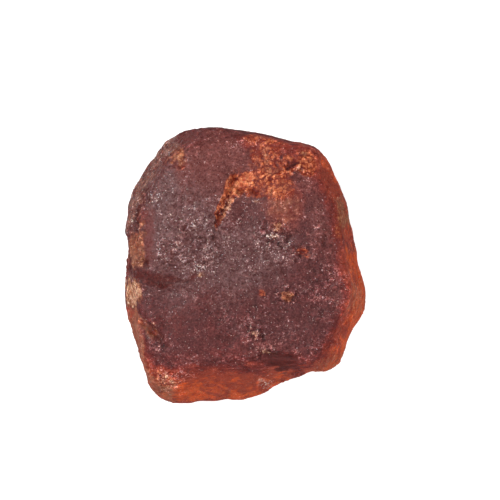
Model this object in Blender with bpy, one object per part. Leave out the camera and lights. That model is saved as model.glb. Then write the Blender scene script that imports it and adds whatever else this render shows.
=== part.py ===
"""Rough garnet: one water-worn, broken crystal that lies on its flattest side.

Metres, +Z up. The broad weathered face looks up and the worn flat underneath lies on Z = 0. The
origin is at the middle of the stone's footprint: X runs across it and Y along its greatest length.

The stone starts as a sphere of fine triangles. Each point is moved out to the nearest of a set of
broken, sloping faces, and the faceted form is then widened to fill the stone's outline. Cracks,
ledges, scoops and lumps are worked into that surface, and the triangles are thinned where it is
smooth.
"""

import math

import bmesh
import bpy
import numpy as np
from mathutils import Vector, noise

MM = 0.001

# ---- driving dimensions, in millimetres ------------------------------------------------------
THICKNESS = 10.5  # from the worn flat to the crown of the broad face
MIDDLE = 4.9  # height of the middle that the outline and the facets are measured from
FLAT_CUT = 0.35  # how much of the underside is worn away to leave the flat
TRIANGLES = 9900
SHORTEST_EDGE = 0.05  # round the worn flat

# The outline seen from above, anticlockwise from +X.
OUTLINE = [
    (9.45, 0.1), (9.1, 1.6), (8.75, 3.7), (8.4, 5.3), (7.75, 6.8), (7.3, 8.05),
    (6.6, 9.2), (5.6, 9.9), (4.2, 10.3), (2.3, 10.8), (0.1, 11.25), (-1.9, 11.5),
    (-3.8, 11.45), (-5.2, 11.15), (-6.6, 10.35), (-7.5, 9.2), (-8.35, 8.0), (-9.25, 6.3),
    (-9.8, 4.8), (-9.98, 3.3), (-9.74, 1.9), (-9.85, 0.7), (-10.1, -1.6), (-10.02, -3.3),
    (-9.65, -4.5), (-9.0, -6.9), (-8.35, -9.2), (-7.65, -10.4), (-6.5, -11.2), (-5.1, -11.5),
    (-3.5, -11.25), (-2.3, -11.2), (-1.7, -11.03), (-1.0, -11.15), (0.1, -11.05), (1.4, -10.65),
    (3.1, -9.75), (4.5, -9.25), (5.6, -8.75), (6.5, -8.85), (7.5, -8.35), (8.2, -7.35),
    (8.5, -6.1), (8.75, -5.35), (9.5, -4.3), (9.95, -3.2), (10.1, -2.1), (9.8, -1.0),
]  # fmt: skip

# The broken faces. Those on the upper and lower side are (direction they face in plan in degrees,
# distance from the middle where they leave the crown or the flat, slope). Those of the sides are
# (direction, lean in degrees): a positive lean looks up, a negative one looks down.
UPPER_FACETS = [
    (150, -3.0, 0.04), (8, 1.5, 0.10), (262, 0.5, 0.07), (75, 4.0, 0.13), (200, 3.5, 0.11),
    (312, 5.2, 0.20), (20, 6.4, 0.42), (30, 8.4, 1.20), (58, 8.6, 0.62), (92, 9.6, 0.85),
    (120, 10.1, 0.80), (150, 9.0, 0.95), (182, 8.3, 1.05), (221, 8.7, 0.75), (268, 8.35, 1.45),
    (299, 8.9, 1.35), (328, 8.5, 1.30), (353, 8.5, 1.20),
]  # fmt: skip
LOWER_FACETS = [
    (10, 5.6, 0.66), (48, 7.4, 1.50), (82, 5.6, 0.42), (124, 7.6, 1.10), (168, 5.2, 0.46),
    (196, 8.2, 1.90), (228, 6.2, 0.60), (268, 5.6, 0.58), (312, 5.3, 0.62), (345, 6.6, 0.95),
]  # fmt: skip
SIDE_FACETS = [
    (4, 14), (32, -12), (70, 8), (100, -16), (137, 20), (165, -6), (192, 12), (216, -14),
    (248, 18), (281, 22), (308, -8), (338, 16),
]  # fmt: skip
FACET_SOFTNESS = 0.20  # how far the worn edges between facets are rounded
FACET_WANDER = (0.42, 0.055)  # facet borders wander: (size, distance), as shares of the radius

# Grooves on the upper face: (depth, half width, points along it).
UPPER_GROOVES = [
    (0.50, 0.18, [(-2.35, 2.9), (-2.05, 4.35), (-1.45, 5.6), (-0.95, 6.85), (-0.5, 7.75)]),
    (0.42, 0.20, [(3.15, 8.2), (3.8, 8.45), (4.6, 8.7)]),
    (0.32, 0.20, [(0.55, 6.55), (0.8, 6.1), (1.25, 5.75)]),
    (0.22, 0.28, [(-5.7, 9.1), (-6.95, 7.85), (-7.8, 6.35), (-8.3, 4.9)]),
    (0.60, 0.24, [(-8.9, 5.4), (-8.95, 3.7), (-9.1, 2.0)]),
    (0.55, 0.26, [(-8.5, 0.6), (-8.3, 0.3), (-8.3, -0.1)]),
    (0.42, 0.60, [(-9.0, -0.9), (-7.9, -1.15), (-6.4, -1.3), (-4.8, -1.3), (-3.2, -1.1)]),
    (0.42, 0.34, [(-9.1, -3.4), (-8.4, -4.4), (-7.75, -5.15), (-6.9, -5.9), (-6.5, -7.1)]),
    (0.20, 0.24, [(4.3, 1.3), (4.8, 1.05), (5.3, 1.25)]),
    (0.16, 0.28, [(4.2, -2.2), (4.9, -2.35)]),
    (0.14, 0.24, [(6.4, -1.7), (7.3, -1.3)]),
]  # fmt: skip
LOWER_GROOVES = [
    (0.55, 0.28, [(-7.4, 6.2), (-6.2, 5.3), (-5.4, 4.6)]),
    (0.45, 0.26, [(-6.1, 5.2), (-6.6, 3.9), (-7.5, 3.0)]),
    (0.50, 0.40, [(2.4, -7.7), (4.1, -6.0), (6.3, -5.2)]),
    (0.40, 0.28, [(3.6, 8.3), (4.9, 6.6), (6.4, 6.0)]),
]  # fmt: skip

END_DEPTH = 0.35  # depth at the ends of a groove, as a share of its full depth

# Round forms: (centre, radius along X, radius along Y, height). A negative height is a hollow.
UPPER_SWELLS = [
    ((-0.05, 6.85), 0.85, 0.75, -0.50),  # the torn hollow beside the crack
    ((-0.3, 4.3), 1.9, 1.5, -0.22),  # smooth dish under it
    ((3.05, -7.95), 1.55, 0.85, -0.55),  # scoop above the lower edge
    ((6.0, -1.5), 1.5, 1.7, -0.16),
    ((-5.6, 8.8), 0.95, 0.8, -0.22),
    ((5.1, 8.1), 0.8, 0.7, -0.30),
    ((8.5, 3.5), 1.2, 1.3, -0.18),
    ((-8.45, 3.1), 0.42, 1.6, 0.30),  # earthy matter that fills the left crevice
    ((-8.8, 0.9), 0.55, 0.85, 0.34),
    ((-9.2, -0.5), 0.45, 0.45, 0.30),
    ((-9.3, -2.2), 0.75, 0.95, 0.30),
    ((-7.6, -4.7), 0.55, 0.45, 0.26),
    ((3.4, -2.4), 0.55, 0.45, 0.24),
    ((0.7, -5.4), 0.45, 0.45, 0.22),
    ((2.5, 3.2), 0.40, 0.35, 0.20),
    ((1.9, 2.8), 0.50, 0.28, 0.18),
    ((-5.3, -9.7), 1.3, 0.7, 0.26),
    ((8.4, -3.1), 0.9, 1.3, 0.25),
]
LOWER_SWELLS = [
    ((5.6, -1.2), 2.1, 1.9, -0.60),
    ((-1.5, 8.4), 2.6, 1.4, -0.40),
    ((-7.4, -6.1), 1.4, 1.6, -0.45),
    ((-6.6, -2.4), 0.9, 1.1, 0.35),
    ((1.7, 9.2), 0.9, 0.7, 0.30),
    ((6.9, 1.9), 0.7, 0.9, 0.32),
]

SWELL_FULLNESS = 1.4  # 1 is bell-shaped, more has a broader top and steeper sides

# Ledges where one broken layer stands above the next: (drop, sharpness, points; the low side is
# on the left of the direction of travel).
UPPER_LEDGES = [
    (0.20, 0.16, [(-0.6, 8.4), (-1.2, 6.7), (-1.75, 5.4), (-2.3, 4.2), (-2.7, 2.6)]),
    (0.24, 0.42, [(-2.4, -0.5), (-4.0, -0.2), (-5.4, 0.3), (-6.4, 0.7), (-7.8, 0.8)]),
    (0.30, 0.14, [(4.6, -7.5), (3.2, -7.15), (2.2, -7.0), (1.3, -6.5)]),
    (0.14, 0.24, [(1.6, -8.35), (-1.6, -8.45), (-4.6, -8.3)]),
    (0.20, 0.14, [(6.1, 4.6), (6.3, 2.4), (6.0, 0.4)]),
]
LEDGE_REACH = 1.5  # a ledge's drop fades out this far from it

# Coarse grains of stained matter in the torn part of the upper face: (centre, rx, ry).
GRAIN_PATCHES = [
    ((2.3, 7.4), 2.0, 1.7), ((4.7, 8.9), 1.2, 1.1), ((1.6, 9.6), 1.8, 1.1),
    ((-8.6, 2.2), 0.6, 2.6), ((-9.2, -2.2), 0.7, 0.9), ((-5.6, 8.8), 1.0, 0.9),
    ((-5.6, -9.4), 1.6, 0.9),
]  # fmt: skip
GRAIN_SIZE = 0.75
GRAIN_HEIGHT = 0.34
GRAIN_GAP = 0.6  # share of a grain over which its side slopes
GRAIN_SUNK = 0.45  # how deep the grains sit in the face, as a share of their height

# Weathering over the whole stone: (size of the forms, height).
WEATHERING = [(5.0, 0.26), (2.3, 0.13), (1.0, 0.07)]
OUTLINE_KEPT = 0.4  # share of the weathering that shifts the outline, which has its own bumps
TURN_STEP = 2.0  # degrees between the directions in which the faceted stone's rim is found
STEEPEST_RISE = 40.0  # degrees above and below level within which the rim lies
OUTLINE_BLUR = 9  # degrees over which the outline's bumps even out away from its rim
RIM_HEIGHT = 2.4  # how far above and below the rim the bumps of the outline reach
FADE_RANGE = (0.35, 0.75)  # worked forms fade where the face looks this little up or down


# ---- the broad shape -------------------------------------------------------------------------
def outline_radius(angles):
    """The outline's distance from the middle at each angle, on a smooth closed curve."""
    knots = sorted((math.atan2(y, x), math.hypot(x, y)) for x, y in OUTLINE)
    turns = [(a + turn * math.tau, r) for turn in (-1, 0, 1) for a, r in knots]
    at = np.array([a for a, _ in turns])
    radius = np.array([r for _, r in turns])
    slope = np.gradient(radius, at)
    left = np.clip(np.searchsorted(at, angles) - 1, 0, len(at) - 2)
    span = at[left + 1] - at[left]
    t = (angles - at[left]) / span
    start = (1 + 2 * t) * (1 - t) ** 2 * radius[left] + t * (1 - t) ** 2 * span * slope[left]
    end = t**2 * (3 - 2 * t) * radius[left + 1] - t**2 * (1 - t) * span * slope[left + 1]
    return start + end


def plane(degrees, start, slope, height):
    """(outward normal, distance) of a face that leaves a level one at a distance from the middle.

    A negative height is a face of the underside.
    """
    turn = math.radians(degrees)
    normal = np.array([slope * math.cos(turn), slope * math.sin(turn), math.copysign(1, height)])
    normal /= np.linalg.norm(normal)
    edge = np.array([start * math.cos(turn), start * math.sin(turn), height])
    return normal, normal @ edge


def side_plane(degrees, lean):
    """(outward normal, distance) of a side, which touches the outline at the stone's middle."""
    turn, tilt = math.radians(degrees), math.radians(lean)
    corners = np.array(OUTLINE) @ (math.cos(turn), math.sin(turn))
    flat = math.cos(tilt)
    normal = np.array([flat * math.cos(turn), flat * math.sin(turn), math.sin(tilt)])
    return normal, flat * corners.max()


def broken_faces():
    """The normals and distances of every face, seen from the stone's middle."""
    crown, flat = THICKNESS - MIDDLE, -MIDDLE - FLAT_CUT
    faces = [(np.array([0, 0, 1.0]), crown), (np.array([0, 0, -1.0]), -flat)]
    faces += [plane(*facet, crown) for facet in UPPER_FACETS]
    faces += [plane(*facet, flat) for facet in LOWER_FACETS]
    faces += [side_plane(*facet) for facet in SIDE_FACETS]
    return np.array([normal for normal, _ in faces]), np.array([d for _, d in faces])


def perlin(points, size, layer):
    """Smooth noise from -1 to 1 at each point, with forms of the given size."""
    shift = Vector((17.3 * layer, -9.1 * layer, 5.7 * layer))
    return np.array([noise.noise(Vector(p) / size + shift) for p in points])


def reach(directions):
    """How far the faceted stone reaches from its middle in each direction."""
    size, distance = FACET_WANDER
    wander = [perlin(directions, size, layer) * distance for layer in range(3)]
    bent = directions + np.stack(wander, axis=1)
    normals, distances = broken_faces()
    towards = np.maximum(bent @ normals.T, MM)
    lengths = distances / towards
    least = lengths.min(axis=1, keepdims=True)
    crowd = np.exp((least - lengths) / FACET_SOFTNESS).sum(axis=1)
    return least[:, 0] - FACET_SOFTNESS * np.log(crowd)


def widest_places():
    """(angles, distances from the middle, heights) of the faceted stone's widest places."""
    turns = np.radians(np.arange(-180, 180, TURN_STEP))
    rises = np.radians(np.arange(-STEEPEST_RISE, STEEPEST_RISE + 1, TURN_STEP))
    turn, rise = (grid.ravel() for grid in np.meshgrid(turns, rises, indexing="ij"))
    rays = np.column_stack([np.cos(turn) * np.cos(rise), np.sin(turn) * np.cos(rise), np.sin(rise)])
    places = (rays * reach(rays)[:, None]).reshape(len(turns), len(rises), 3)
    out = np.hypot(places[..., 0], places[..., 1])
    rows, widest = np.arange(len(turns)), out.argmax(axis=1)
    return turns, out[rows, widest], places[rows, widest, 2]


def evened(line):
    """Values all round the stone, evened out so that the outline's bumps are gone."""
    steps = np.arange(len(line)) * TURN_STEP - 180
    weights = np.exp(-(steps**2) / (2 * OUTLINE_BLUR**2))
    weights = np.roll(weights / weights.sum(), len(line) // 2)
    return np.fft.ifft(np.fft.fft(line) * np.fft.fft(weights)).real


def fit_to_outline(points):
    """Widens the faceted stone to fill its outline, whose bumps fade away from the rim."""
    turns, out, level = widest_places()
    exact = outline_radius(turns) / out
    angles = np.arctan2(points[:, 1], points[:, 0])
    exact, broad, level = (
        np.interp(angles, turns, line, period=math.tau)
        for line in (exact, evened(exact), evened(level))
    )
    rim = np.exp(-(((points[:, 2] - level) / RIM_HEIGHT) ** 2))
    out = np.maximum(np.hypot(points[:, 0], points[:, 1]), MM)
    widen = np.minimum(broad + (exact - broad) * rim, outline_radius(angles) / out)
    return points * np.column_stack([widen, widen, np.ones(len(points))])


# ---- forms worked into a face ----------------------------------------------------------------
def along_path(xy, path):
    """(distance to a path, signed distance that is positive on its left, share along it)."""
    best = np.full(len(xy), np.inf)
    side = np.zeros(len(xy))
    share = np.zeros(len(xy))
    for index in range(len(path) - 1):
        a, b = np.array(path[index]), np.array(path[index + 1])
        run = b - a
        t = np.clip((xy - a) @ run / (run @ run), 0, 1)
        off = xy - a - t[:, None] * run
        distance = np.hypot(off[:, 0], off[:, 1])
        near = distance < best
        cross = run[0] * (xy - a)[:, 1] - run[1] * (xy - a)[:, 0]
        best = np.where(near, distance, best)
        side = np.where(near, np.sign(cross) * distance, side)
        share = np.where(near, (index + t) / (len(path) - 1), share)
    return best, side, share


def groove_relief(xy, grooves):
    """A narrow V that is deepest in the middle of its path."""
    relief = np.zeros(len(xy))
    for depth, half_width, path in grooves:
        distance, _, share = along_path(xy, path)
        taper = END_DEPTH + (1 - END_DEPTH) * np.sin(np.pi * share)
        relief -= depth * taper * np.exp(-((distance / half_width) ** 2))
    return relief


def swell_relief(xy, swells):
    """Round bumps and hollows."""
    relief = np.zeros(len(xy))
    for centre, radius_x, radius_y, height in swells:
        spread = (((xy - np.array(centre)) / (radius_x, radius_y)) ** 2).sum(axis=1)
        relief += height * np.exp(-(spread**SWELL_FULLNESS))
    return relief


def ledge_relief(xy, ledges):
    """A step down from the right side of a path to its left, which fades with distance."""
    relief = np.zeros(len(xy))
    for drop, sharpness, path in ledges:
        distance, side, share = along_path(xy, path)
        fade = np.exp(-((distance / LEDGE_REACH) ** 2)) * np.sin(np.pi * share)
        relief -= drop * fade * np.tanh(side / sharpness) / 2
    return relief


def grain_relief(points):
    """Angular grains, as high as they are far from the next grain, inside the stained patches."""
    xy = points[:, :2]
    amount = np.zeros(len(points))
    for centre, radius_x, radius_y in GRAIN_PATCHES:
        spread = (((xy - np.array(centre)) / (radius_x, radius_y)) ** 2).sum(axis=1)
        amount = np.maximum(amount, np.clip(1.5 - 1.5 * spread, 0, 1))
    relief = np.zeros(len(points))
    for index in np.flatnonzero(amount):
        distances, _ = noise.voronoi(Vector(points[index]) / GRAIN_SIZE)
        dome = min((distances[1] - distances[0]) / GRAIN_GAP, 1)
        relief[index] = amount[index] * (dome - GRAIN_SUNK)
    return GRAIN_HEIGHT * relief


# ---- the stone -------------------------------------------------------------------------------
def faceted(sphere):
    """The points of a unit sphere moved to the faceted stone, in millimetres from its middle."""
    return fit_to_outline(sphere * reach(sphere)[:, None])


def normals_of(points, faces):
    """The average direction of the faces at each point."""
    corners = points[faces]
    facing = np.cross(corners[:, 1] - corners[:, 0], corners[:, 2] - corners[:, 0])
    normals = np.zeros_like(points)
    for corner in range(3):
        np.add.at(normals, faces[:, corner], facing)
    return normals / np.linalg.norm(normals, axis=1, keepdims=True)


def relief(points, normals):
    """How far each point is raised along its normal by the forms on its side of the stone."""
    xy = points[:, :2]
    upper = swell_relief(xy, UPPER_SWELLS) + ledge_relief(xy, UPPER_LEDGES)
    upper += groove_relief(xy, UPPER_GROOVES) + grain_relief(points)
    lower = swell_relief(xy, LOWER_SWELLS) + groove_relief(xy, LOWER_GROOVES)
    steepest, level_enough = FADE_RANGE
    share = np.clip((np.abs(normals[:, 2]) - steepest) / (level_enough - steepest), 0, 1)
    return share * np.where(normals[:, 2] > 0, upper, lower)


def stone_mesh():
    """The whole stone as a closed mesh of fine triangles, in metres."""
    bm = bmesh.new()
    bmesh.ops.create_icosphere(bm, subdivisions=7, radius=1)
    faces = np.array([[v.index for v in f.verts] for f in bm.faces])
    points = faceted(np.array([v.co for v in bm.verts]))
    normals = normals_of(points, faces)
    weathering = sum(h * perlin(points, size, 3 + i) for i, (size, h) in enumerate(WEATHERING))
    points += normals * relief(points, normals)[:, None]
    points += normals * weathering[:, None] * (OUTLINE_KEPT, OUTLINE_KEPT, 1)
    points[:, 2] += MIDDLE
    for vert, point in zip(bm.verts, points):
        vert.co = Vector(point) * MM
    mesh = bpy.data.meshes.new("rough_garnet")
    bm.to_mesh(mesh)
    bm.free()
    return mesh


def thinned(mesh, triangles):
    """The mesh with its triangles merged where the surface is smooth."""
    draft = bpy.data.objects.new("draft", mesh)
    bpy.context.scene.collection.objects.link(draft)
    decimate = draft.modifiers.new("thin", "DECIMATE")
    decimate.ratio = triangles / len(mesh.polygons)
    graph = bpy.context.evaluated_depsgraph_get()
    result = bpy.data.meshes.new_from_object(draft.evaluated_get(graph))
    bpy.data.objects.remove(draft)
    return result


def cut_flat_and_centre(mesh):
    """Cuts the worn flat on Z = 0 and sets the stone over the origin."""
    bm = bmesh.new()
    bm.from_mesh(mesh)
    everything = bm.verts[:] + bm.edges[:] + bm.faces[:]
    cut = bmesh.ops.bisect_plane(
        bm, geom=everything, plane_co=(0, 0, 0), plane_no=(0, 0, 1), clear_inner=True
    )
    border = [v for v in cut["geom_cut"] if isinstance(v, bmesh.types.BMVert)]
    bmesh.ops.remove_doubles(bm, verts=border, dist=SHORTEST_EDGE * MM)
    bmesh.ops.holes_fill(bm, edges=[e for e in bm.edges if e.is_boundary])
    places = np.array([v.co for v in bm.verts])
    middle = (places.min(axis=0) + places.max(axis=0)) / 2
    bmesh.ops.translate(bm, verts=bm.verts, vec=(-middle[0], -middle[1], 0))
    bmesh.ops.triangulate(bm, faces=[f for f in bm.faces if len(f.verts) > 3])
    bmesh.ops.recalc_face_normals(bm, faces=bm.faces)
    bm.to_mesh(mesh)
    bm.free()
    mesh.shade_smooth()


def garnet_material():
    """Frosted brownish red."""
    material = bpy.data.materials.new("garnet")
    material.use_nodes = True
    shader = material.node_tree.nodes["Principled BSDF"]
    shader.inputs["Base Color"].default_value = (0.16, 0.052, 0.045, 1)
    shader.inputs["Roughness"].default_value = 0.45
    shader.inputs["Metallic"].default_value = 0
    shader.inputs["IOR"].default_value = 1.74
    return material


def main():
    for old in list(bpy.data.objects):
        bpy.data.objects.remove(old)
    mesh = thinned(stone_mesh(), TRIANGLES)
    cut_flat_and_centre(mesh)
    mesh.materials.append(garnet_material())
    stone = bpy.data.objects.new("rough_garnet", mesh)
    bpy.context.scene.collection.objects.link(stone)


main()
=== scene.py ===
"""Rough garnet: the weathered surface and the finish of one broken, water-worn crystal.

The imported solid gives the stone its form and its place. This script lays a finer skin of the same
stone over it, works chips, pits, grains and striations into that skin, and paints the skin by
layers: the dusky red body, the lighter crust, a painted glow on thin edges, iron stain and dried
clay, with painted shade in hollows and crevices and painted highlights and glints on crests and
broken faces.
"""

import logging
import math
from dataclasses import dataclass, field
from enum import Enum

import bpy
import numpy as np
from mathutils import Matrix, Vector, noise


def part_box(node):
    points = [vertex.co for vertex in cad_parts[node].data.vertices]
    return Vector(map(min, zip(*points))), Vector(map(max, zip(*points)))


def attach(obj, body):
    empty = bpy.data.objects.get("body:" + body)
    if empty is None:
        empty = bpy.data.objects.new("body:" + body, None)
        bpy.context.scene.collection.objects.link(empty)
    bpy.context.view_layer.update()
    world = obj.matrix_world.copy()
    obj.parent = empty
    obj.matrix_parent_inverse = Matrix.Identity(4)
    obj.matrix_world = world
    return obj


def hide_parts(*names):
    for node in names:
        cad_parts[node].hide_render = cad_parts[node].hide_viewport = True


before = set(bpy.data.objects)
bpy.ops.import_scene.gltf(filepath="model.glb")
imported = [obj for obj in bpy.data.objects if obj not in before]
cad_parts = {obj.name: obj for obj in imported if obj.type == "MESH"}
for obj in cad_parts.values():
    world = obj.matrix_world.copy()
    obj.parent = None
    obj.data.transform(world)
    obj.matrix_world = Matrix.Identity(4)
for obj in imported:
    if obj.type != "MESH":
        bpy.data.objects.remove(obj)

log = logging.getLogger("rough garnet")

MM = 0.001
NODE = "rough_garnet"

Colour = tuple[float, float, float]
Place = tuple[float, float]
Span = tuple[float, float]
Input = "Value | float | tuple[float, ...]"

# Lines across the broad face that several layers follow, in millimetres.
LEFT_BEVEL: tuple[Place, ...] = ((-9.6, 2.6), (-9.5, 5.0), (-8.6, 7.2), (-7.2, 9.2), (-5.4, 10.9))
LEFT_RIDGE: tuple[Place, ...] = ((-7.95, 4.8), (-7.9, 2.6), (-7.8, 0.4))

# Waves that make the edges of all patches and lines ragged, in millimetres.
WAVE_SIZE = 1.1
WAVE_REACH = 0.28


def place(name: str, data: bpy.types.ID) -> bpy.types.Object:
    """Puts a mesh, a camera or a light into the scene.

    Args:
        name: What it is called.
        data: The mesh, the camera or the light.

    Returns:
        Its object.
    """
    made = bpy.data.objects.new(name, data)
    bpy.context.scene.collection.objects.link(made)
    return made


# ---- numbers over the stone's surface --------------------------------
def smooth_step(values: np.ndarray, low: float, high: float) -> np.ndarray:
    """Rises smoothly from 0 at low to 1 at high, or falls where high is the lower one."""
    share = np.clip((values - low) / (high - low), 0, 1)
    return share * share * (3 - 2 * share)


def cloud(points: np.ndarray, size: float, seed: int, octaves: int = 1) -> np.ndarray:
    """Smooth noise at each point.

    Args:
        points: Places in millimetres.
        size: Size of the noise's forms in millimetres.
        seed: Which of many unlike noises to read.
        octaves: How many times finer forms are added.

    Returns:
        A value from about -1 to 1 for each point.
    """
    shift = Vector((31.7, -12.4, 8.9)) * seed
    places = (Vector(point) / size + shift for point in points)
    if octaves == 1:
        return np.array([noise.noise(place) for place in places])
    return np.array([noise.fractal(place, 0.9, 2.1, octaves) for place in places])


def waves(points: np.ndarray, seeds: tuple[int, int], octaves: int) -> np.ndarray:
    """How far the edges of patches and lines are bent at each point, across the stone."""
    return np.stack([cloud(points, WAVE_SIZE, seed, octaves) for seed in seeds], axis=1) * WAVE_REACH


@dataclass(frozen=True)
class Cells:
    """A split of space into irregular cells, read at each point of the surface.

    Attributes:
        edge: How much nearer the cell's own middle is than the next one, in cell sizes.
        near: Distance to the cell's middle, in cell sizes.
        offset: Vector from the cell's middle, in cell sizes.
        chance: A random number from 0 to 1 for each cell.
        lean: A random vector for each cell.
    """

    edge: np.ndarray
    near: np.ndarray
    offset: np.ndarray
    chance: np.ndarray
    lean: np.ndarray

    @classmethod
    def read(cls, points: np.ndarray, size: float, seed: int) -> "Cells":
        """Reads the cells of one size at each point.

        Args:
            points: Places in millimetres.
            size: Size of a cell in millimetres.
            seed: Which of many unlike splits to read.

        Returns:
            The cells' values at the points.
        """
        shift = Vector((-7.3, 19.1, 4.7)) * seed
        places = [Vector(point) / size + shift for point in points]
        found = [noise.voronoi(place) for place in places]
        near = np.array([distances[0] for distances, _ in found])
        after = np.array([distances[1] for distances, _ in found])
        middle = np.array([centres[0] for _, centres in found])
        mixed = np.sin(middle @ np.array([[12.9, 78.2, 37.7], [39.3, 11.1, 83.1], [73.2, 52.2, 9.1]]))
        lean = np.mod(mixed * 4375.8, 1.0) * 2 - 1
        chance = np.mod(np.abs(lean).sum(axis=1) * 91.7, 1.0)
        return cls(after - near, near, np.array(places) - middle, chance, lean)


@dataclass(frozen=True)
class Patch:
    """A rounded area of the broad face, in millimetres across the stone.

    Attributes:
        x: Middle along X.
        y: Middle along Y.
        radius_x: Half its width.
        radius_y: Half its length.
        amount: How strong it is at its middle.
        soft: Share of the radius over which it fades.
        turn: Degrees by which it is turned anticlockwise.
    """

    x: float
    y: float
    radius_x: float
    radius_y: float
    amount: float = 1.0
    soft: float = 0.9
    turn: float = 0.0

    def cover(self, plan: np.ndarray) -> np.ndarray:
        """Finds the patch.

        Args:
            plan: Places seen from above, in millimetres.

        Returns:
            How much of it each place has.
        """
        turn = math.radians(self.turn)
        east, north = (plan - (self.x, self.y)).T
        along = east * math.cos(turn) + north * math.sin(turn)
        aside = north * math.cos(turn) - east * math.sin(turn)
        spread = np.hypot(along / self.radius_x, aside / self.radius_y)
        return self.amount * smooth_step(spread, 1 + self.soft / 2, 1 - self.soft / 2)


@dataclass(frozen=True)
class Seam:
    """A line across the broad face, in millimetres.

    Attributes:
        path: Its points.
        width: Distance at which it has faded.
        amount: How strong or deep it is.
        core: Share of that distance with the full amount.
        end_width: Distance at which its last point has faded, where that differs.
    """

    path: tuple[Place, ...]
    width: float
    amount: float = 1.0
    core: float = 0.0
    end_width: float | None = None

    def measure(self, plan: np.ndarray) -> tuple[np.ndarray, np.ndarray, np.ndarray]:
        """Finds the line from each place in plan.

        Args:
            plan: Places seen from above, in millimetres.

        Returns:
            The distance, the signed distance that is positive on the line's left, and the share
            of the line's length at which it is nearest.
        """
        best = np.full(len(plan), np.inf)
        side, share = np.zeros(len(plan)), np.zeros(len(plan))
        runs = len(self.path) - 1
        for index in range(runs):
            start, end = np.array(self.path[index]), np.array(self.path[index + 1])
            run = end - start
            along = np.clip((plan - start) @ run / (run @ run), 0, 1)
            away = plan - start - along[:, None] * run
            distance = np.hypot(away[:, 0], away[:, 1])
            turn = run[0] * (plan - start)[:, 1] - run[1] * (plan - start)[:, 0]
            near = distance < best
            best = np.where(near, distance, best)
            side = np.where(near, np.sign(turn) * distance, side)
            share = np.where(near, (index + along) / runs, share)
        return best, side, share

    def cover(self, plan: np.ndarray) -> np.ndarray:
        """Finds the line, which fades away from its path and at its ends.

        Args:
            plan: Places seen from above, in millimetres.

        Returns:
            How much of it each place has.
        """
        distance, _, share = self.measure(plan)
        ends = smooth_step(share, 0, 0.12) * smooth_step(share, 1, 0.88)
        last = self.width if self.end_width is None else self.end_width
        spread = distance / (self.width + (last - self.width) * share)
        return self.amount * smooth_step(spread, 1, self.core) * (0.3 + 0.7 * ends)

    def step(self, plan: np.ndarray, reach: float) -> np.ndarray:
        """Makes a step along the line, down on its left.

        Args:
            plan: Places seen from above, in millimetres.
            reach: Distance over which the step fades to both sides.

        Returns:
            The height at each place.
        """
        distance, side, share = self.measure(plan)
        fade = np.exp(-((distance / reach) ** 2)) * np.sin(np.pi * share)
        return -self.amount * fade * np.tanh(side / self.width)


Areas = tuple[Patch | Seam, ...]


def covered(areas: Areas, plan: np.ndarray) -> np.ndarray:
    """The strongest of several patches or lines at each place in plan."""
    return np.max([area.cover(plan) for area in areas], axis=0)


@dataclass(frozen=True)
class Drift:
    """Noise that spreads something over the sides and the underside.

    Attributes:
        size: Size of its forms in millimetres.
        seed: Which of many unlike noises it is.
        start: Noise at which it starts.
        full: Noise at which it is full.
        amount: How strong it is there.
        gather: How much more it gathers for each millimetre that a point is sunk.
    """

    size: float
    seed: int
    start: float
    full: float
    amount: float = 1.0
    gather: float = 0.0

    def cover(self, points: np.ndarray, sunk: np.ndarray | float = 0.0) -> np.ndarray:
        """How much of it each point has.

        Args:
            points: Places in millimetres.
            sunk: How deep each lies below its surroundings.

        Returns:
            The amounts.
        """
        form = cloud(points, self.size, self.seed, 2) + self.gather * sunk
        return self.amount * smooth_step(form, self.start, self.full)


class Layer(Enum):
    """What is painted over the stone, kept in its mesh for the finish to read."""

    ROSE = "rose"
    DUSK = "dusk"
    EMBER = "ember"
    STAIN = "stain"
    CLAY = "clay"
    CREAM = "cream"
    SHADE = "shade"
    FROST = "frost"
    BUFF = "buff"
    GLITTER = "glitter"
    # The finish paints shade into the hollow layer and highlight onto the crest layer.
    HOLLOW = "hollow"
    CREST = "crest"


PAINTED = tuple(layer for layer in Layer if layer not in (Layer.FROST, Layer.HOLLOW, Layer.CREST))


# ---- shader expressions --------------------------------
class Value:
    """A node's output that Python's operators work on, each by adding a Math node."""

    def __init__(self, shading: "Shading", socket: bpy.types.NodeSocket) -> None:
        """Wraps a socket of a material."""
        self.shading = shading
        self.socket = socket

    def __add__(self, other: Input) -> "Value":
        """Self + other."""
        return self.shading.math("ADD", self, other)

    def __sub__(self, other: Input) -> "Value":
        """Self - other."""
        return self.shading.math("SUBTRACT", self, other)

    def __rsub__(self, other: Input) -> "Value":
        """Other - self."""
        return self.shading.math("SUBTRACT", other, self)

    def __mul__(self, other: Input) -> "Value":
        """Self * other."""
        return self.shading.math("MULTIPLY", self, other)

    def __abs__(self) -> "Value":
        """Self without its sign."""
        return self.shading.math("ABSOLUTE", self)

    __radd__ = __add__
    __rmul__ = __mul__

    def step(self, low: float, high: float) -> "Value":
        """Rises smoothly from 0 at low to 1 at high."""
        sockets = {"Value": self, "From Min": low, "From Max": high}
        made = self.shading.node("ShaderNodeMapRange", {"interpolation_type": "SMOOTHSTEP"}, sockets)
        return Value(self.shading, made.outputs["Result"])


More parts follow.
